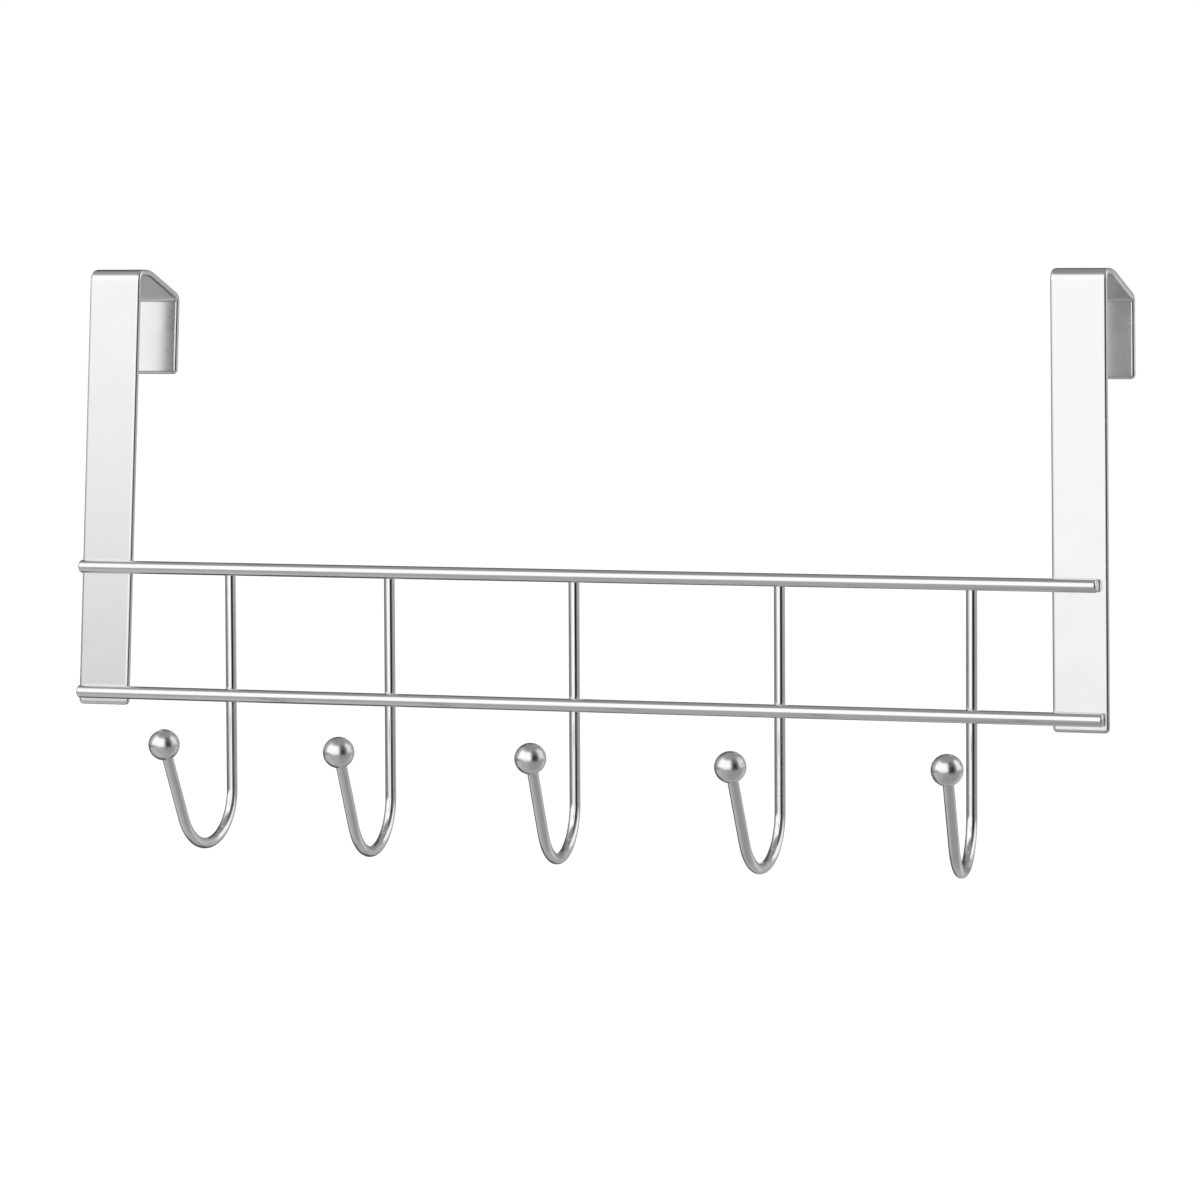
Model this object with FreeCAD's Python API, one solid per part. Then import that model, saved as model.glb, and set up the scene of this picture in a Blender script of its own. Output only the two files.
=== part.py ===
import FreeCAD, Part
import math
import os
from FreeCAD import Vector

# Over-the-door hook rack in plated steel, welded into one piece. Millimetres, degrees, +Z up.
# Two bent straps hang over the door and carry two round rails. Five wire hooks stand behind
# the rails, each with a ball on its tip.
# Origin: midway between the straps, on the door's front face, level with the door's top edge.
# The door fills the space behind the straps, towards +Y, and the hooks reach out towards -Y.

# Straps: flat strip with rolled edges, folded tightly at the front and the rear. Between the
# folds it starts out level and bends gently at the crown, then falls to the door's back edge.
STRIP_WIDTH = 25.0
STRIP_THICKNESS = 3.0
STRIP_RIM_RADIUS = 1.2
STRIP_CORNER_RADIUS = 1.6
FOLD_INSIDE_RADIUS = 2.0
CROWN_INSIDE_RADIUS = 17.0
CROWN_SETBACK = 8.7
BRIDGE_FALL_ANGLE = 21.3
DOOR_THICKNESS = 35.0
DOOR_CLEARANCE = 1.4
REAR_LEG_DROP = 34.8
STRAP_FOOT = 5.9
STRAP_SPACING = 465.0
LEFT_STRAP_LEAN = 2.4
RIGHT_STRAP_LEAN = 0.4

# Rails: round rod, laid across the front of the straps; each end stops short of a strap's outer
# edge, as that edge stands at the lower rail
RAIL_DIAMETER = 5.8
RAIL_END_RADIUS = 0.7
LOWER_RAIL_DROP = 178.2
RAIL_SPACING = 57.0
LOWER_RAIL_LEFT_INSET = 1.1
LOWER_RAIL_RIGHT_INSET = 1.3
UPPER_RAIL_LEFT_INSET = 2.8
UPPER_RAIL_RIGHT_INSET = 4.2

# Hooks: round wire, bent once into a U that opens upwards
WIRE_DIAMETER = 4.8
WIRE_END_CHAMFER = 0.5
LEG_ABOVE_UPPER_RAIL = 1.4
BEND_BELOW_LOWER_RAIL = 43.2
BEND_RADIUS = 22.5
BEND_ANGLE = 154.6
ARM_LENGTH = 37.9

# Row of hooks: the first and last are placed from the middles of the straps, the rest between
# them. Each is welded by hand, so it has its own shift along the rails from the even spacing,
# its own swing of the arm towards +X, and its own rise above the common level.
FIRST_HOOK_INSET = 63.5
LAST_HOOK_INSET = 49.5
HOOK_SETTINGS = (
    (0.0, -4.4, 0.7),
    (-9.4, 1.9, -0.2),
    (-8.3, 3.7, -0.2),
    (0.2, -0.3, -1.0),
    (0.0, 8.7, 0.6),
)

# Balls: drilled to take the end of the wire, which reaches the ball's centre
BALL_DIAMETER = 13.8

# Resistance welding presses each pair of crossing pieces this far into one another
WELD_SETDOWN = 0.3

# Levels and distances that follow from the sizes above
STRAP_FRONT_Y = -STRIP_THICKNESS
RAIL_Y = STRAP_FRONT_Y - RAIL_DIAMETER / 2 + WELD_SETDOWN
LEG_Y = RAIL_Y + RAIL_DIAMETER / 2 + WIRE_DIAMETER / 2 - WELD_SETDOWN
LOWER_RAIL_Z = -LOWER_RAIL_DROP
UPPER_RAIL_Z = LOWER_RAIL_Z + RAIL_SPACING
FOOT_Z = LOWER_RAIL_Z - STRAP_FOOT
BEND_START_Z = LOWER_RAIL_Z - BEND_BELOW_LOWER_RAIL

TOLERANCE = 1e-5
ALONG_X = Vector(1, 0, 0)
ALONG_Y = Vector(0, 1, 0)
ALONG_Z = Vector(0, 0, 1)


def rounded_outline(corners, radii):
    """Closed wire through the corners, each rounded by its radius; a radius of 0 leaves it sharp."""
    starts = []
    ends = []
    arcs = []
    for index, (corner, radius) in enumerate(zip(corners, radii)):
        to_last = (corners[index - 1] - corner).normalize()
        to_next = (corners[(index + 1) % len(corners)] - corner).normalize()
        half_angle = to_last.getAngle(to_next) / 2
        setback = radius / math.tan(half_angle)
        starts.append(corner + to_last * setback)
        ends.append(corner + to_next * setback)
        if radius > 0:
            inward = (to_last + to_next).normalize()
            middle = corner + inward * (radius / math.sin(half_angle) - radius)
            arcs.append(Part.Arc(starts[-1], middle, ends[-1]).toShape())
    lines = [Part.makeLine(ends[index - 1], starts[index]) for index in range(len(corners))]
    return Part.Wire(Part.sortEdges(lines + arcs)[0])


def outside_corner(last, corner, following):
    """Corner on the strip's outer side, one thickness out from this corner on the door's side."""
    to_last = (last - corner).normalize()
    to_next = (following - corner).normalize()
    half_angle = to_last.getAngle(to_next) / 2
    outward = (to_last + to_next).normalize() * -1
    return corner + outward * (STRIP_THICKNESS / math.sin(half_angle))


def strap_outline():
    """Side view of the bent strip: front leg, level run, crown, falling bridge and rear leg."""
    slope = math.tan(math.radians(BRIDGE_FALL_ANGLE))
    crown_level = (DOOR_THICKNESS - CROWN_SETBACK) * slope
    rear_y = DOOR_THICKNESS + DOOR_CLEARANCE
    inside = [
        Vector(0, 0, FOOT_Z),
        Vector(0, 0, crown_level),
        Vector(0, CROWN_SETBACK, crown_level),
        Vector(0, rear_y, -DOOR_CLEARANCE * slope),
        Vector(0, rear_y, -REAR_LEG_DROP),
    ]
    outside = [
        Vector(0, rear_y + STRIP_THICKNESS, -REAR_LEG_DROP),
        outside_corner(*inside[2:5]),
        outside_corner(*inside[1:4]),
        outside_corner(*inside[0:3]),
        Vector(0, STRAP_FRONT_Y, FOOT_Z),
    ]
    bends = [FOLD_INSIDE_RADIUS, CROWN_INSIDE_RADIUS, FOLD_INSIDE_RADIUS]
    outside_bends = [radius + STRIP_THICKNESS for radius in reversed(bends)]
    return rounded_outline(inside + outside, [0, *bends, 0, 0, *outside_bends, 0])


def is_corner(edge):
    """True where the edge runs through the strip's thickness at one of its two ends."""
    at_an_end = min(abs(edge.CenterOfMass.z - level) for level in (FOOT_Z, -REAR_LEG_DROP)) < TOLERANCE
    return at_an_end and edge.BoundBox.XLength < TOLERANCE


def is_cut_face(face):
    """True on the strip's sheared sides, ends and corners; only its broad faces span its width."""
    return face.BoundBox.XLength < STRIP_WIDTH - TOLERANCE


def leaning_sides(lean, box):
    """Slab between the strip's two long sides, which lean together, taller and deeper than box."""
    corners = []
    for side, level in ((-1, box.ZMin - 1), (1, box.ZMin - 1), (1, box.ZMax + 1), (-1, box.ZMax + 1)):
        shift = (level - LOWER_RAIL_Z) * math.tan(math.radians(lean))
        corners.append(Vector(side * STRIP_WIDTH / 2 + shift, box.YMin - 1, level))
    front_view = Part.Face(Part.makePolygon(corners + corners[:1]))
    return front_view.extrude(ALONG_Y * (box.YLength + 2))


def make_strap(middle_x, lean):
    """Bent strap standing at middle_x. Its sides lean, so that its top lies further towards +X,
    while its foot and its bends stay level."""
    side_view = Part.Face(strap_outline())
    strip = side_view.extrude(ALONG_X * (3 * STRIP_WIDTH))
    strip.translate(ALONG_X * (-1.5 * STRIP_WIDTH))
    strip = strip.common(leaning_sides(lean, side_view.BoundBox)).Solids[0]
    strip = strip.makeFillet(STRIP_CORNER_RADIUS, [edge for edge in strip.Edges if is_corner(edge)])

    rims = []
    for edge in strip.Edges:
        faces = strip.ancestorsOfType(edge, Part.Face)
        if sum(is_cut_face(face) for face in faces) == 1:
            rims.append(edge)
    strip = strip.makeFillet(STRIP_RIM_RADIUS, rims)
    strip.translate(ALONG_X * middle_x)
    return strip


def make_rod(level, left_inset, right_inset):
    """Round rod across both straps, its ends rounded over."""
    outer_edge = STRAP_SPACING / 2 + STRIP_WIDTH / 2
    left_end = Vector(left_inset - outer_edge, RAIL_Y, level)
    length = 2 * outer_edge - left_inset - right_inset
    rod = Part.makeCylinder(RAIL_DIAMETER / 2, length, left_end, ALONG_X)
    rings = [edge for edge in rod.Edges if edge.BoundBox.XLength < TOLERANCE]
    return rod.makeFillet(RAIL_END_RADIUS, rings)


def on_bend(angle):
    """Point on the wire's centre line, this far round the bend, in the hook's own plane."""
    turned = math.radians(angle)
    swept = Vector(0, math.cos(turned) - 1, -math.sin(turned)) * BEND_RADIUS
    return ALONG_Z * BEND_START_Z + swept


def arm_direction():
    """The way the arm points, out of the bend and up towards its tip."""
    turned = math.radians(BEND_ANGLE)
    return Vector(0, -math.sin(turned), -math.cos(turned))


def tip_centre():
    """Centre of the ball, at the far end of the arm."""
    return on_bend(BEND_ANGLE) + arm_direction() * ARM_LENGTH


def make_wire():
    """Hook wire in its own plane: down the leg, round the bend and up the arm."""
    leg_top = ALONG_Z * (UPPER_RAIL_Z + LEG_ABOVE_UPPER_RAIL)
    leg = Part.makeLine(leg_top, on_bend(0))
    bend = Part.Arc(on_bend(0), on_bend(BEND_ANGLE / 2), on_bend(BEND_ANGLE)).toShape()
    arm = Part.makeLine(on_bend(BEND_ANGLE), tip_centre())
    section = Part.Wire(Part.makeCircle(WIRE_DIAMETER / 2, leg_top, ALONG_Z))
    wire = Part.Wire([leg, bend, arm]).makePipeShell([section], True, False)
    top_ring = [edge for edge in wire.Edges if edge.BoundBox.ZMin > leg_top.z - TOLERANCE]
    return wire.makeChamfer(WIRE_END_CHAMFER, top_ring)


def make_ball():
    """Ball on the wire's tip, with the blind hole that the wire sits in."""
    ball = Part.makeSphere(BALL_DIAMETER / 2, tip_centre())
    hole = Part.makeCylinder(WIRE_DIAMETER / 2, BALL_DIAMETER, tip_centre(), arm_direction() * -1)
    return ball.cut(hole)


def set_up(shape, leg_x, swing, rise):
    """Copy of a hook's piece, swung about its leg and stood behind the rails."""
    piece = shape.copy()
    piece.rotate(Vector(0, 0, 0), ALONG_Z, swing)
    piece.translate(Vector(leg_x, LEG_Y, rise))
    return piece


def hook_stands():
    """Where each hook's leg stands along the rails, with its swing and rise."""
    first = FIRST_HOOK_INSET - STRAP_SPACING / 2
    last = STRAP_SPACING / 2 - LAST_HOOK_INSET
    pitch = (last - first) / (len(HOOK_SETTINGS) - 1)
    for index, (shift, swing, rise) in enumerate(HOOK_SETTINGS):
        yield first + index * pitch + shift, swing, rise


def make_nodes():
    """Every piece of the rack, by name."""
    nodes = {
        "left_strap": make_strap(-STRAP_SPACING / 2, LEFT_STRAP_LEAN),
        "right_strap": make_strap(STRAP_SPACING / 2, -RIGHT_STRAP_LEAN),
    }
    straps = list(nodes.values())
    rods = {
        "upper_rail": make_rod(UPPER_RAIL_Z, UPPER_RAIL_LEFT_INSET, UPPER_RAIL_RIGHT_INSET),
        "lower_rail": make_rod(LOWER_RAIL_Z, LOWER_RAIL_LEFT_INSET, LOWER_RAIL_RIGHT_INSET),
    }
    for name, rod in rods.items():
        nodes[name] = rod.cut(straps)

    wire = make_wire()
    ball = make_ball()
    for number, stand in enumerate(hook_stands(), start=1):
        nodes[f"hook_{number}"] = set_up(wire, *stand).cut(list(rods.values()))
        nodes[f"ball_{number}"] = set_up(ball, *stand)
    return nodes


def main():
    os.makedirs("parts", exist_ok=True)
    for name, shape in make_nodes().items():
        shape.exportStep(f"parts/{name}.step")


main()
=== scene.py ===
import math

import bpy
import numpy as np
from mathutils import Matrix

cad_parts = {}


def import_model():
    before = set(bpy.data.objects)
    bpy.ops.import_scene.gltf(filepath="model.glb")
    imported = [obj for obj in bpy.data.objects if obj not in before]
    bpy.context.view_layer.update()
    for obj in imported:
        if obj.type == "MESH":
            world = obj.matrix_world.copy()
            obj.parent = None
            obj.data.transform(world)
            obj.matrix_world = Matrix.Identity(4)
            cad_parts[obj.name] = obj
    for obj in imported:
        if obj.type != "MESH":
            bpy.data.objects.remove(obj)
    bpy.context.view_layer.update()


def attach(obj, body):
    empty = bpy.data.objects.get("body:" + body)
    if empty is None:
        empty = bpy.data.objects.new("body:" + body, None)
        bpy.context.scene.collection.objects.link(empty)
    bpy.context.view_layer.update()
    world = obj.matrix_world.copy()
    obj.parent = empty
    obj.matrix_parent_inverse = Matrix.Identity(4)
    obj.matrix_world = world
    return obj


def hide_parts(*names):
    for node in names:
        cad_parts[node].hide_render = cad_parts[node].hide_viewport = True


# Over-the-door hook rack in bright plated steel. The rack's shapes are worked out in millimetres
# in the frame of the solids (+Z up, hooks towards -Y, door's front face at y = 0, its top at
# z = 0) and go into the meshes in metres. The tent and the floor round it are given in metres.

MM = 0.001

# Straps: flat strip with rolled edges, folded at the front and the rear and bent a little at the
# crown between them. The rolled edge is a quarter ellipse across and through the strip.
STRIP_WIDTH = 25.0
STRIP_THICKNESS = 3.0
RIM_ACROSS = 1.6
RIM_THROUGH = 1.2
STRIP_CORNER_RADIUS = 2.0
FOLD_INSIDE_RADIUS = 2.0
CROWN_INSIDE_RADIUS = 17.0
CROWN_SETBACK = 8.7
BRIDGE_FALL_ANGLE = 21.3
DOOR_THICKNESS = 35.0
DOOR_CLEARANCE = 1.4
REAR_LEG_DROP = 34.8
STRAP_FOOT_Z = -184.1
# Each strap: its middle at the lower rail along X, and the lean of its sides in degrees, positive
# towards +X at the top
STRAP_LEANS = {"left_strap": (-232.5, 2.4), "right_strap": (232.5, -0.4)}

# Rails: round rod with rounded ends, in front of the straps.
# Each rail: its level, and where its left and right ends are along X
RAIL_RADIUS = 2.9
RAIL_END_RADIUS = 1.2
RAIL_Y = -5.6
LOWER_RAIL_Z = -178.2
RAILS = {"upper_rail": (-121.2, -242.2, 240.8), "lower_rail": (LOWER_RAIL_Z, -243.9, 243.7)}

# Hooks: wire behind the rails, bent into a U, with a ball on the tip.
# Each hook: place along the rails, swing of the arm towards +X, rise above the common level
WIRE_RADIUS = 2.4
WIRE_END_ROUNDING = 0.5
LEG_Y = -0.6
LEG_TOP_Z = -119.8
BEND_START_Z = -221.4
BEND_RADIUS = 22.5
BEND_ANGLE = 154.6
ARM_LENGTH = 37.9
BALL_RADIUS = 6.9
BALL_LIP = 0.35
BALL_LIP_SHOULDER = 0.12
BALL_SOCKET_DEPTH = 1.5
HOOKS = (
    (-169.0, -4.4, 0.7),
    (-90.4, 1.9, -0.2),
    (-1.3, 3.7, -0.2),
    (95.2, -0.3, -1.0),
    (183.0, 8.7, 0.6),
)

# Meshes: points round a rod, a wire and a ball; the distance at which a second row of points holds
# a flat face flat up to its edge; and the short gaps that keep the rows of a straight run clear of
# the rows of a bend, on the wire, at the strip's foot and between the strip's bends
RAIL_SIDES = 96
WIRE_SIDES = 64
BALL_SIDES = 96
HOLDING_GAP = 0.05
WIRE_RUN_GAP = 0.3
FOOT_RUN_GAP = 0.3
STRIP_RUN_GAP = 0.2
STRIP_END_GAP = 0.1

# Plate: colours between which the tone goes, range of the noise that is used, and the size and
# strength of the drawn lines. Each finish: gloss where it shines and where it is hazy, size of
# the clouds, depth of the drawn lines and how far they are stretched along the metal, in mm
COOL_PLATE = (0.775, 0.778, 0.782, 1)
WARM_PLATE = (0.795, 0.795, 0.792, 1)
NOISE_RANGE = (0.3, 0.7)
LINES_PER_MM = 1.1
LINE_STRENGTH = 0.3
FINISHES = {
    "plated_strip": (0.19, 0.24, 16.0, 0.0012, 60.0),
    "plated_rod": (0.13, 0.18, 6.0, 0.004, 80.0),
    "plated_wire": (0.10, 0.13, 5.0, 0.002, 80.0),
    "plated_ball": (0.22, 0.28, 3.0, 0.004, 1.0),
}

# Light tent, in metres and degrees: its reach, how far it goes down and up, its centre, and its
# tone where no panel lies. Each panel covers what is under it, in this order
TENT_REACH = 5.0
TENT_DEPTH = 0.42
TENT_TOP = 5.0
TENT_CENTRE = (0, -0.03, -0.15)
TENT_TONE = 0.335
TENT_PANELS = (
    # left, right, low, high, edge, level
    (-400, 400, -90, -8, 10, 0.45),   # pale ground all round
    (-115, -50, -60, -8, 16, 0.56),   # lighter ground to the left
    (-125, -48, -12, 0, 6, 0.20),     # dark foot of the left wall
    (10, 112, -90, -10, 40, 0.35),    # darker ground in front on the right
    (-400, 400, 62, 120, 26, 0.31),   # dim ceiling
    (-174, -100, -58, 52, 16, 0.11),  # dark screen behind on the left
    (-182, -157, -16, 24, 8, 0.42),   # pale gap at the back
    (128, 154, -42, -14, 10, 0.66),   # light patch low behind on the right
    (138, 166, -10, 34, 14, 0.52),    # pale screen behind on the right
    (166, 190, -10, 34, 8, 0.30),     # grey screen at the back
    (94, 140, 0, 50, 12, 1.12),       # lamp to the right
    (33, 80, -20, 58, 14, 0.13),      # dark screen in front on the right
    (35, 72, -12, 24, 14, 0.02),      # its black middle
    (-110, 26, 0, 60, 20, 0.48),      # grey wall in front and to the left
    (-76, -40, 0, 50, 6, 1.26),       # lamp to the left
    (-46, 28, -4.5, 50, 12, 1.26),    # lamp in front
    (-24, 23, -11, 10, 10, 1.23),     # its lower edge
)

# Floor, background and lamps. Each lamp: azimuth and height in degrees, and strength
FLOOR_HALF_SIDE = 14.0
FLOOR_Z = -0.62
FLOOR_COLOUR = (0.92, 0.92, 0.92, 1)
FLOOR_GLOW = 0.5
DAYLIGHT = 0.8
BACKGROUND = 1.0
LAMP_SPREAD = 40
LAMPS = {"key_lamp": (-35, 62, 1.0), "fill_lamp": (80, 50, 0.4)}

# Camera of the photograph: what it looks at and from how far in mm, and its angles in radians
CAMERA_TARGET = (13.13, -5.6, -131.54)
CAMERA_DISTANCE = 2575.7
CAMERA_AZIMUTH = 0.3907
CAMERA_HEIGHT = 0.0635
CAMERA_ROLL = -0.0049
LENS_LENGTH = 176.4
SENSOR_WIDTH = 36.0


def arc(start, end, count):
    """Angles from start to end in equal steps, in radians, with both ends."""
    return np.linspace(math.radians(start), math.radians(end), count)


def grid_quads(rows, columns):
    """Faces of a grid of rows by columns whose last column joins its first, as index quads."""
    row, column = np.meshgrid(np.arange(rows - 1), np.arange(columns), indexing="ij")
    after = (column + 1) % columns
    low = row * columns
    high = low + columns
    return np.stack([low + column, low + after, high + after, high + column], -1).reshape(-1, 4)


def end_fan(first, columns, pole, flip):
    """Triangles that close a ring of points onto one pole point."""
    ring = first + np.arange(columns)
    after = first + (np.arange(columns) + 1) % columns
    edges = (after, ring) if flip else (ring, after)
    return np.stack([np.full(columns, pole), *edges], -1)


def make_piece(name, points, faces, stock, material):
    """A named mesh piece from points in mm. Its attribute "stock" keeps where each point lay on
    the straight stock before it was bent, in mm, for the marks that run along the metal."""
    mesh = bpy.data.meshes.new(name)
    mesh.from_pydata((points * MM).tolist(), [], faces)
    mesh.shade_smooth()
    layer = mesh.attributes.new("stock", "FLOAT_VECTOR", "POINT")
    layer.data.foreach_set("vector", stock.astype(np.float32).ravel())
    mesh.materials.append(material)
    piece = bpy.data.objects.new(name, mesh)
    bpy.context.scene.collection.objects.link(piece)
    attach(piece, "root")
    return piece


def turned(along, radius, centre, out, side, axis, count):
    """Surface of rings about a path: point = centre(s) + axis(s)*along(s)
    + radius(s)*(out(s)*cos t + side(s)*sin t), closed by a pole at each end of the path."""
    t = np.linspace(0, 2 * math.pi, count, endpoint=False)[None, :, None]
    spoke = out[:, None] * np.cos(t) + side[:, None] * np.sin(t)
    ring_centre = centre + axis * along[:, None]
    rings = ring_centre[1:-1, None] + radius[1:-1, None, None] * spoke[1:-1]
    points = np.concatenate([rings.reshape(-1, 3), ring_centre[:1], ring_centre[-1:]])
    rows = len(along) - 2
    faces = grid_quads(rows, count).tolist()
    faces += end_fan(0, count, rows * count, True).tolist()
    faces += end_fan((rows - 1) * count, count, rows * count + 1, False).tolist()
    return points, faces


def rounded_end(radius, rounding, steps):
    """Profile of a round bar's end, (along, radius) from the axis out to the full radius: a flat
    disc, a quarter circle of the rounding, and a close ring that keeps the bar's side straight."""
    q = arc(0, 90, steps)
    along = rounding * (1 - np.cos(q))
    out = radius - rounding + rounding * np.sin(q)
    along = np.concatenate([[0, 0], along, [rounding + HOLDING_GAP]])
    out = np.concatenate([[0, radius - rounding - HOLDING_GAP], out, [radius]])
    return along, out


def make_rail(name, material):
    """Round bar along X: the profile of one end, the straight side, and the end mirrored."""
    level, left, right = RAILS[name]
    length = right - left
    along, out = rounded_end(RAIL_RADIUS, RAIL_END_RADIUS, 9)
    body = np.linspace(2 * RAIL_END_RADIUS, length - 2 * RAIL_END_RADIUS, 60)
    along = np.concatenate([along, body, length - along[::-1]])
    out = np.concatenate([out, np.full(len(body), RAIL_RADIUS), out[::-1]])
    count = len(along)
    centre = np.tile([left, RAIL_Y, level], (count, 1))
    axes = np.tile(np.eye(3)[:, None], (1, count, 1))
    points, faces = turned(along, out, centre, axes[1], axes[2], axes[0], RAIL_SIDES)
    piece = make_piece(name + "_bar", points, faces, points, material)
    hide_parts(name)


def hook_path():
    """Centre line of a hook's wire in its own plane, leg downwards, round the bend and up the arm:
    distance along the wire, (y, z) and direction, at close steps on the bend."""
    leg = LEG_TOP_Z - BEND_START_Z
    bend = BEND_RADIUS * math.radians(BEND_ANGLE)
    s = np.concatenate([
        np.linspace(2 * WIRE_END_ROUNDING, leg - WIRE_RUN_GAP, 34),
        np.linspace(leg, leg + bend, 90),
        np.linspace(leg + bend + WIRE_RUN_GAP, leg + bend + ARM_LENGTH, 16),
    ])
    turn = np.clip((s - leg) / BEND_RADIUS, 0, math.radians(BEND_ANGLE))
    direction = np.stack([-np.sin(turn), -np.cos(turn)], -1)
    on_bend = np.stack([np.cos(turn) - 1, -np.sin(turn)], -1) * BEND_RADIUS
    straight = s - leg - turn * BEND_RADIUS
    place = on_bend + direction * straight[:, None]
    place[:, 1] += BEND_START_Z
    return s, place, direction


def swing_and_place(points, hook):
    """Points of a hook's own plane, turned about its leg by the swing and stood in the row."""
    leg_x, swing, rise = hook
    a = math.radians(swing)
    turn = np.array([[math.cos(a), -math.sin(a), 0], [math.sin(a), math.cos(a), 0], [0, 0, 1]])
    return points @ turn.T + [leg_x, LEG_Y, rise]


def make_hook(number, material):
    """Wire: circle carried along the hook's centre line, its top end rounded over. The stock is
    the straight wire: distance along it, and (cos t, sin t) times the radius across it."""
    s, place, direction = hook_path()
    cap_along, cap_out = rounded_end(WIRE_RADIUS, WIRE_END_ROUNDING, 6)
    caps = len(cap_along)
    s = np.concatenate([cap_along, s, s[-1:]])
    place = np.concatenate([np.tile([0, LEG_TOP_Z], (caps, 1)), place, place[-1:]])
    direction = np.concatenate([np.tile([0, -1], (caps, 1)), direction, direction[-1:]])
    along = np.concatenate([cap_along, np.zeros(len(s) - caps)])
    out = np.concatenate([cap_out, np.full(len(s) - caps - 1, WIRE_RADIUS), [0]])
    zero = np.zeros(len(s))
    centre = np.stack([zero, place[:, 0], place[:, 1]], -1)
    axis = np.stack([zero, direction[:, 0], direction[:, 1]], -1)
    side = np.tile([1.0, 0, 0], (len(s), 1))
    forward = np.cross(axis, side)
    points, faces = turned(along, out, centre, side, forward, axis, WIRE_SIDES)
    t = np.linspace(0, 2 * math.pi, WIRE_SIDES, endpoint=False)
    ring = np.stack([np.cos(t), np.sin(t)], -1)
    stock = np.concatenate([np.repeat(s[1:-1], WIRE_SIDES)[:, None],
                            (out[1:-1, None, None] * ring).reshape(-1, 2)], -1)
    stock = np.concatenate([stock, [[0, 0, 0], [s[-1], 0, 0]]])
    points = swing_and_place(points, HOOKS[number - 1])
    piece = make_piece(f"hook_{number}_wire", points, faces, stock, material)
    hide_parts(f"hook_{number}")


def make_ball(number, material):
    """Ball turned about the arm's line: a sphere drilled for the wire, with a small rounded lip
    at the hole, that closes inside the wire."""
    _, place, direction = hook_path()
    tip = np.array([0, place[-1, 0], place[-1, 1]])
    axis = np.array([0, direction[-1, 0], direction[-1, 1]])
    open_angle = math.degrees(math.asin((WIRE_RADIUS + BALL_LIP) / BALL_RADIUS))
    q = arc(0, 180 - open_angle, 60)
    along = BALL_RADIUS * np.cos(q)
    out = BALL_RADIUS * np.sin(q)
    out[0] = 0
    into_hole = [BALL_LIP_SHOULDER, BALL_LIP, BALL_SOCKET_DEPTH, BALL_SOCKET_DEPTH]
    along = np.concatenate([along, along[-1] + into_hole])
    out = np.concatenate([out, [WIRE_RADIUS + BALL_LIP_SHOULDER, WIRE_RADIUS, WIRE_RADIUS, 0]])
    count = len(along)
    centre = np.tile(tip, (count, 1))
    side = np.tile([1.0, 0, 0], (count, 1))
    axis = np.tile(axis, (count, 1))
    points, faces = turned(along, out, centre, side, np.cross(side, axis), axis,
                           BALL_SIDES)
    points = swing_and_place(points, HOOKS[number - 1])
    piece = make_piece(f"ball_{number}_bead", points, faces, points, material)
    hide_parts(f"ball_{number}")


def strip_bends():
    """The strip's middle line as distances along it where its runs and bends meet, with the angle
    and radius of each bend: front fold, crown, rear fold. A bend of angle a and radius r takes
    r * tan(a / 2) off the run on each side of its corner and puts in r * a."""
    fall = math.radians(BRIDGE_FALL_ANGLE)
    half = STRIP_THICKNESS / 2
    level = (DOOR_THICKNESS - CROWN_SETBACK) * math.tan(fall) + half
    crown_y = CROWN_SETBACK + half * math.tan(fall / 2)
    rear_y = DOOR_THICKNESS + DOOR_CLEARANCE + half
    rear_z = level - (rear_y - crown_y) * math.tan(fall)
    corners = np.array([[-half, STRAP_FOOT_Z], [-half, level], [crown_y, level],
                        [rear_y, rear_z], [rear_y, -REAR_LEG_DROP]])
    angles = np.array([math.pi / 2, fall, math.pi / 2 - fall])
    radii = np.array([FOLD_INSIDE_RADIUS, CROWN_INSIDE_RADIUS, FOLD_INSIDE_RADIUS]) + half
    setbacks = radii * np.tan(angles / 2)
    runs = np.linalg.norm(np.diff(corners, axis=0), axis=1)
    runs -= np.append(setbacks, 0) + np.append(0, setbacks)
    stretches = np.insert(runs, [1, 2, 3], radii * angles)
    return np.append(0, np.cumsum(stretches)), angles, radii


def folded(s, through):
    """Side view of the strip: (y, z) at distance s along its middle line, moved out by through.
    A run at heading h adds (sin h, cos h) times its length, and a bend from heading h to k adds
    radius * (cos h - cos k, sin k - sin h)."""
    marks, angles, radii = strip_bends()
    starts, ends = marks[0::2], marks[1::2]
    y = np.full(s.shape, -STRIP_THICKNESS / 2)
    z = STRAP_FOOT_Z + np.minimum(s, ends[0])
    before = 0.0
    heading = np.zeros(s.shape)
    for angle, radius, bend_at, run_at, run_end in zip(angles, radii, ends, starts[1:], ends[1:]):
        turn = np.clip((s - bend_at) / radius, 0, angle)
        run = np.clip(s - run_at, 0, run_end - run_at)
        after = before + angle
        y += radius * (math.cos(before) - np.cos(before + turn)) + run * math.sin(after)
        z += radius * (np.sin(before + turn) - math.sin(before)) + run * math.cos(after)
        heading += turn
        before = after
    return y - through * np.cos(heading), z + through * np.sin(heading)


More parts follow.
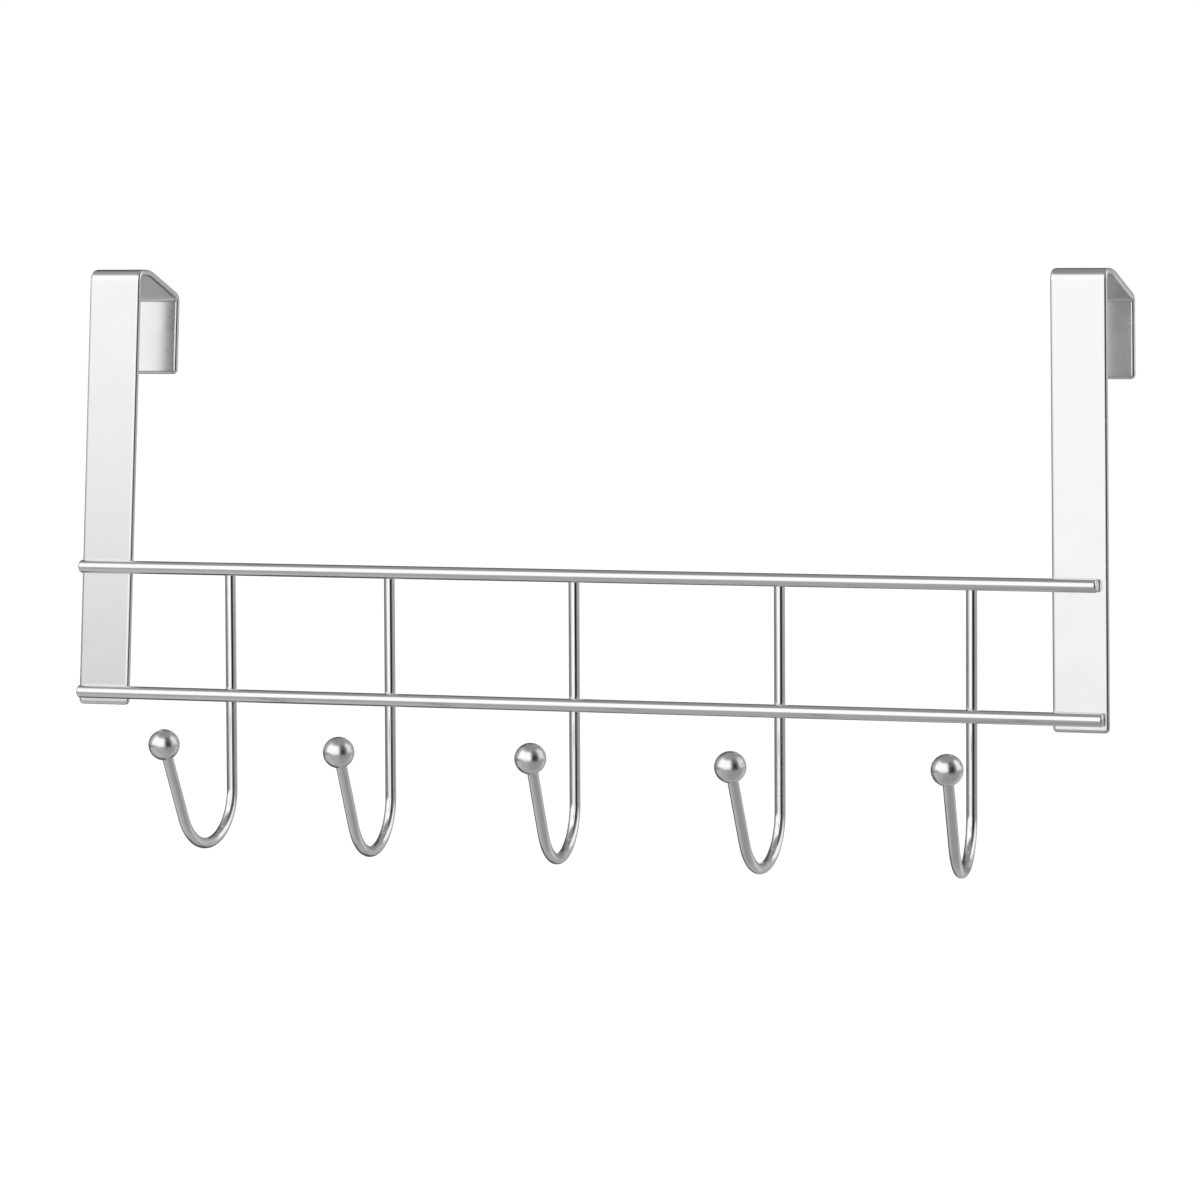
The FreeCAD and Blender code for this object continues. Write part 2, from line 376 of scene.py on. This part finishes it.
def blank_outline(inset):
    """Outline of the flat strip, set in from its edge, as (along, across) from the foot up one
    long side and back down the other: straight sides and a quarter circle at each corner."""
    marks = strip_bends()[0]
    half = STRIP_WIDTH / 2
    corner = STRIP_CORNER_RADIUS
    side = [np.linspace(corner, marks[1] - FOOT_RUN_GAP, 60)]
    for bend, steps in ((1, 36), (3, 24), (5, 30)):
        start, end, next_start = marks[bend:bend + 3]
        side.append(np.linspace(start, end, steps))
        side.append(np.linspace(end + STRIP_RUN_GAP, next_start - STRIP_RUN_GAP, 14))
    side = np.concatenate(side)
    side = side[side < marks[-1] - corner - STRIP_END_GAP]
    q = arc(0, 90, 10)[1:]
    reach = (corner - inset) * np.sin(q)
    spread = half - corner + (corner - inset) * np.cos(q)
    along = np.concatenate([(corner - reach)[::-1], side, marks[-1] - corner + reach])
    across = np.concatenate([spread[::-1], np.full(len(side), half - inset), spread])
    one_side = np.stack([along, across], -1)
    return np.concatenate([one_side, one_side[::-1] * [1, -1]])


def make_strap(name, material):
    """Bent strap. The flat blank is a stack of outlines that go from the upper face round the
    rolled edge to the lower face, (inset, through) following a quarter ellipse at each rim. Each
    point goes to (across + height above the lower rail * tan(lean), *folded(along, through))."""
    face = STRIP_THICKNESS / 2
    q = arc(0, 90, 12)
    inset = np.concatenate([[RIM_ACROSS + HOLDING_GAP], RIM_ACROSS * (1 - np.sin(q))])
    through = np.concatenate([[face], face - RIM_THROUGH * (1 - np.cos(q))])
    inset = np.concatenate([inset, inset[::-1]])
    through = np.concatenate([through, -through[::-1]])
    outlines = np.stack([blank_outline(i) for i in inset])
    rings, around = outlines.shape[:2]
    heights = np.broadcast_to(through[:, None, None], (rings, around, 1))
    stock = np.concatenate([outlines, heights], -1).reshape(-1, 3)

    half = np.arange(around // 2 - 1)
    across = np.stack([half, half + 1, around - 2 - half, around - 1 - half], -1)
    under = across[:, ::-1] + (rings - 1) * around
    faces = np.concatenate([grid_quads(rings, around)[:, ::-1], across, under]).tolist()

    y, z = folded(stock[:, 0], stock[:, 2])
    stands_at, lean = STRAP_LEANS[name]
    x = stands_at + stock[:, 1] + (z - LOWER_RAIL_Z) * math.tan(math.radians(lean))
    piece = make_piece(name + "_strip", np.stack([x, y, z], -1), faces, stock,
                       material)
    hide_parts(name)


def new_material(name):
    """Empty node material with its output; gives the material, its nodes and a link function."""
    material = bpy.data.materials.new(name)
    material.use_nodes = True
    nodes = material.node_tree.nodes
    nodes.clear()
    output = nodes.new("ShaderNodeOutputMaterial")
    return material, nodes, material.node_tree.links.new, output


def bright_plate(name, shine, haze, cloud_size, line_depth, line_stretch):
    """Bright nickel-chrome plate on steel. The gloss varies in soft clouds between shine and
    haze, the tone varies with it by a little, and fine drawn lines run along the stock."""
    material, nodes, link, output = new_material(name)
    stock = nodes.new("ShaderNodeAttribute")
    stock.attribute_name = "stock"
    plate = nodes.new("ShaderNodeBsdfPrincipled")
    plate.inputs["Metallic"].default_value = 1.0
    link(plate.outputs["BSDF"], output.inputs["Surface"])

    clouds = nodes.new("ShaderNodeTexNoise")
    clouds.inputs["Scale"].default_value = 1 / cloud_size
    clouds.inputs["Detail"].default_value = 1.0
    link(stock.outputs["Vector"], clouds.inputs["Vector"])

    gloss = nodes.new("ShaderNodeMapRange")
    gloss.inputs["From Min"].default_value = NOISE_RANGE[0]
    gloss.inputs["From Max"].default_value = NOISE_RANGE[1]
    gloss.inputs["To Min"].default_value = shine
    gloss.inputs["To Max"].default_value = haze
    link(clouds.outputs["Fac"], gloss.inputs["Value"])
    link(gloss.outputs["Result"], plate.inputs["Roughness"])

    tone = nodes.new("ShaderNodeValToRGB")
    for stop, position, colour in zip(tone.color_ramp.elements, NOISE_RANGE,
                                      (COOL_PLATE, WARM_PLATE)):
        stop.position = position
        stop.color = colour
    link(clouds.outputs["Fac"], tone.inputs["Fac"])
    link(tone.outputs["Color"], plate.inputs["Base Color"])

    stretch = nodes.new("ShaderNodeMapping")
    stretch.inputs["Scale"].default_value = (1 / line_stretch, 1, 1)
    link(stock.outputs["Vector"], stretch.inputs["Vector"])
    lines = nodes.new("ShaderNodeTexNoise")
    lines.inputs["Scale"].default_value = LINES_PER_MM
    lines.inputs["Detail"].default_value = 2.0
    link(stretch.outputs["Vector"], lines.inputs["Vector"])
    bump = nodes.new("ShaderNodeBump")
    bump.inputs["Strength"].default_value = LINE_STRENGTH
    bump.inputs["Distance"].default_value = line_depth * MM
    link(lines.outputs["Fac"], bump.inputs["Height"])
    link(bump.outputs["Normal"], plate.inputs["Normal"])
    return material


def soft_step(value, edge, width):
    """0 below the edge, 1 above it, with a smooth rise of this width across it."""
    t = np.clip((value - edge) / width + 0.5, 0, 1)
    return t * t * (3 - 2 * t)


def paint(tone, azimuth, height, panel):
    """Lays one panel of the tent over the tones: a box in azimuth and height with soft edges. The
    azimuth goes round, so the panel is looked for a full turn to each side too."""
    left, right, low, high, edge, level = panel
    turns = azimuth + np.array([-360.0, 0.0, 360.0])[:, None, None]
    cover = (soft_step(turns, left, edge) * soft_step(-turns, -right, edge)).max(axis=0)
    cover = cover * soft_step(height, low, edge) * soft_step(-height, -high, edge)
    return tone + (level - tone) * cover


def make_tent():
    """Soft light tent that the bright plate mirrors: an ellipsoid, flatter below, with its tone
    painted by azimuth (0 in front of the rack, positive to its right) and height above the level.
    Only mirrored rays see it: the camera, the floor and the shadows do not."""
    height, azimuth = np.meshgrid(np.radians(np.linspace(-90, 90, 181)[1:-1]),
                                  np.radians(np.linspace(-180, 180, 361)[:-1]), indexing="ij")
    depth = np.where(height < 0, TENT_DEPTH, TENT_TOP)
    reach = 1 / np.sqrt((np.cos(height) / TENT_REACH) ** 2 + (np.sin(height) / depth) ** 2)
    ring = np.stack([np.sin(azimuth) * np.cos(height), -np.cos(azimuth) * np.cos(height),
                     np.sin(height)], -1) * reach[..., None]
    rows, columns = azimuth.shape
    points = np.concatenate([ring.reshape(-1, 3), [[0, 0, -TENT_DEPTH], [0, 0, TENT_TOP]]])
    points = points + TENT_CENTRE
    faces = grid_quads(rows, columns).tolist()
    faces += end_fan(0, columns, rows * columns, False).tolist()
    faces += end_fan((rows - 1) * columns, columns, rows * columns + 1, True).tolist()
    mesh = bpy.data.meshes.new("light_tent")
    mesh.from_pydata(points.tolist(), [], faces)

    tone = np.full(azimuth.shape, TENT_TONE)
    for panel in TENT_PANELS:
        tone = paint(tone, np.degrees(azimuth), np.degrees(height), panel)
    tone = np.concatenate([tone.ravel(), [tone[0].mean(), tone[-1].mean()]])
    layer = mesh.attributes.new("tone", "FLOAT", "POINT")
    layer.data.foreach_set("value", tone.astype(np.float32))

    material, nodes, link, output = new_material("tent_cloth")
    cloth_tone = nodes.new("ShaderNodeAttribute")
    cloth_tone.attribute_name = "tone"
    glow = nodes.new("ShaderNodeEmission")
    link(cloth_tone.outputs["Fac"], glow.inputs["Strength"])
    link(glow.outputs["Emission"], output.inputs["Surface"])
    material.cycles.emission_sampling = "NONE"
    mesh.materials.append(material)
    tent = bpy.data.objects.new("light_tent", mesh)
    bpy.context.scene.collection.objects.link(tent)
    tent.visible_camera = False
    tent.visible_diffuse = False
    tent.visible_shadow = False
    tent.visible_transmission = False


def background_ray(nodes, link):
    """1 for rays that come straight from the camera, off metal or through glass, else 0."""
    path = nodes.new("ShaderNodeLightPath")
    first = nodes.new("ShaderNodeMath")
    first.operation = "MAXIMUM"
    link(path.outputs["Is Camera Ray"], first.inputs[0])
    link(path.outputs["Is Glossy Ray"], first.inputs[1])
    both = nodes.new("ShaderNodeMath")
    both.operation = "MAXIMUM"
    link(first.outputs[0], both.inputs[0])
    link(path.outputs["Is Transmission Ray"], both.inputs[1])
    return both.outputs[0]


def make_floor():
    """Pale floor below the hanging rack. It glows a little to the camera, so that it meets the
    white background, and its own colour keeps the rack's shadow."""
    side = np.array([-FLOOR_HALF_SIDE, FLOOR_HALF_SIDE])
    x, y = np.meshgrid(side, side)
    points = np.stack([x.ravel(), y.ravel(), np.full(4, FLOOR_Z)], -1)
    mesh = bpy.data.meshes.new("floor")
    mesh.from_pydata(points.tolist(), [], [(0, 1, 3, 2)])
    material, nodes, link, output = new_material("pale_floor")
    ground = nodes.new("ShaderNodeBsdfDiffuse")
    ground.inputs["Color"].default_value = FLOOR_COLOUR
    glow = nodes.new("ShaderNodeEmission")
    link(background_ray(nodes, link), glow.inputs["Strength"])
    blend = nodes.new("ShaderNodeMixShader")
    blend.inputs["Fac"].default_value = FLOOR_GLOW
    link(ground.outputs["BSDF"], blend.inputs[1])
    link(glow.outputs["Emission"], blend.inputs[2])
    link(blend.outputs["Shader"], output.inputs["Surface"])
    mesh.materials.append(material)
    floor = bpy.data.objects.new("floor", mesh)
    bpy.context.scene.collection.objects.link(floor)


def make_world():
    """White background at strength 1 where it is seen, and plain daylight for everything else."""
    world = bpy.data.worlds.new("plain_white")
    bpy.context.scene.world = world
    world.use_nodes = True
    nodes = world.node_tree.nodes
    nodes.clear()
    link = world.node_tree.links.new
    output = nodes.new("ShaderNodeOutputWorld")
    sky = nodes.new("ShaderNodeBackground")
    sky.inputs["Color"].default_value = (1, 1, 1, 1)
    level = nodes.new("ShaderNodeMapRange")
    level.inputs["To Min"].default_value = DAYLIGHT
    level.inputs["To Max"].default_value = BACKGROUND
    link(background_ray(nodes, link), level.inputs["Value"])
    link(level.outputs["Result"], sky.inputs["Strength"])
    link(sky.outputs["Background"], output.inputs["Surface"])


def make_lamp(name, azimuth, height, strength):
    """Broad soft lamp from far away, by its azimuth and height in degrees. In the plate's
    reflections the tent stands for it."""
    light = bpy.data.lights.new(name, "SUN")
    light.angle = math.radians(LAMP_SPREAD)
    light.energy = strength
    lamp = bpy.data.objects.new(name, light)
    bpy.context.scene.collection.objects.link(lamp)
    lamp.rotation_euler = (math.radians(90 - height), 0, math.radians(azimuth))
    lamp.visible_glossy = False


def make_camera():
    """Camera of the photograph: round to the rack's right and a little above it. It looks at the
    target from this distance, azimuth and height, and is turned about its own axis by the roll."""
    level = math.cos(CAMERA_HEIGHT)
    back = np.array([math.sin(CAMERA_AZIMUTH) * level, -math.cos(CAMERA_AZIMUTH) * level,
                     math.sin(CAMERA_HEIGHT)])
    right = np.array([math.cos(CAMERA_AZIMUTH), math.sin(CAMERA_AZIMUTH), 0])
    up = np.cross(back, right)
    roll_cos, roll_sin = math.cos(CAMERA_ROLL), math.sin(CAMERA_ROLL)
    right, up = roll_cos * right + roll_sin * up, roll_cos * up - roll_sin * right
    lens = bpy.data.cameras.new("photo_camera")
    lens.lens = LENS_LENGTH
    lens.sensor_width = SENSOR_WIDTH
    camera = bpy.data.objects.new("photo_camera", lens)
    bpy.context.scene.collection.objects.link(camera)
    pose = np.eye(4)
    pose[:3, 0], pose[:3, 1], pose[:3, 2] = right, up, back
    pose[:3, 3] = (np.array(CAMERA_TARGET) + back * CAMERA_DISTANCE) * MM
    camera.matrix_world = Matrix(pose.tolist())
    bpy.context.scene.camera = camera


def main():
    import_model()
    make_camera()

    strip, rod, wire, bead = (bright_plate(name, *finish) for name, finish in FINISHES.items())
    for name in STRAP_LEANS:
        make_strap(name, strip)
    for name in RAILS:
        make_rail(name, rod)
    for number in range(1, len(HOOKS) + 1):
        make_hook(number, wire)
        make_ball(number, bead)

    make_tent()
    make_floor()
    make_world()
    for name, place in LAMPS.items():
        make_lamp(name, *place)
    bpy.context.scene.view_settings.view_transform = "Standard"


main()
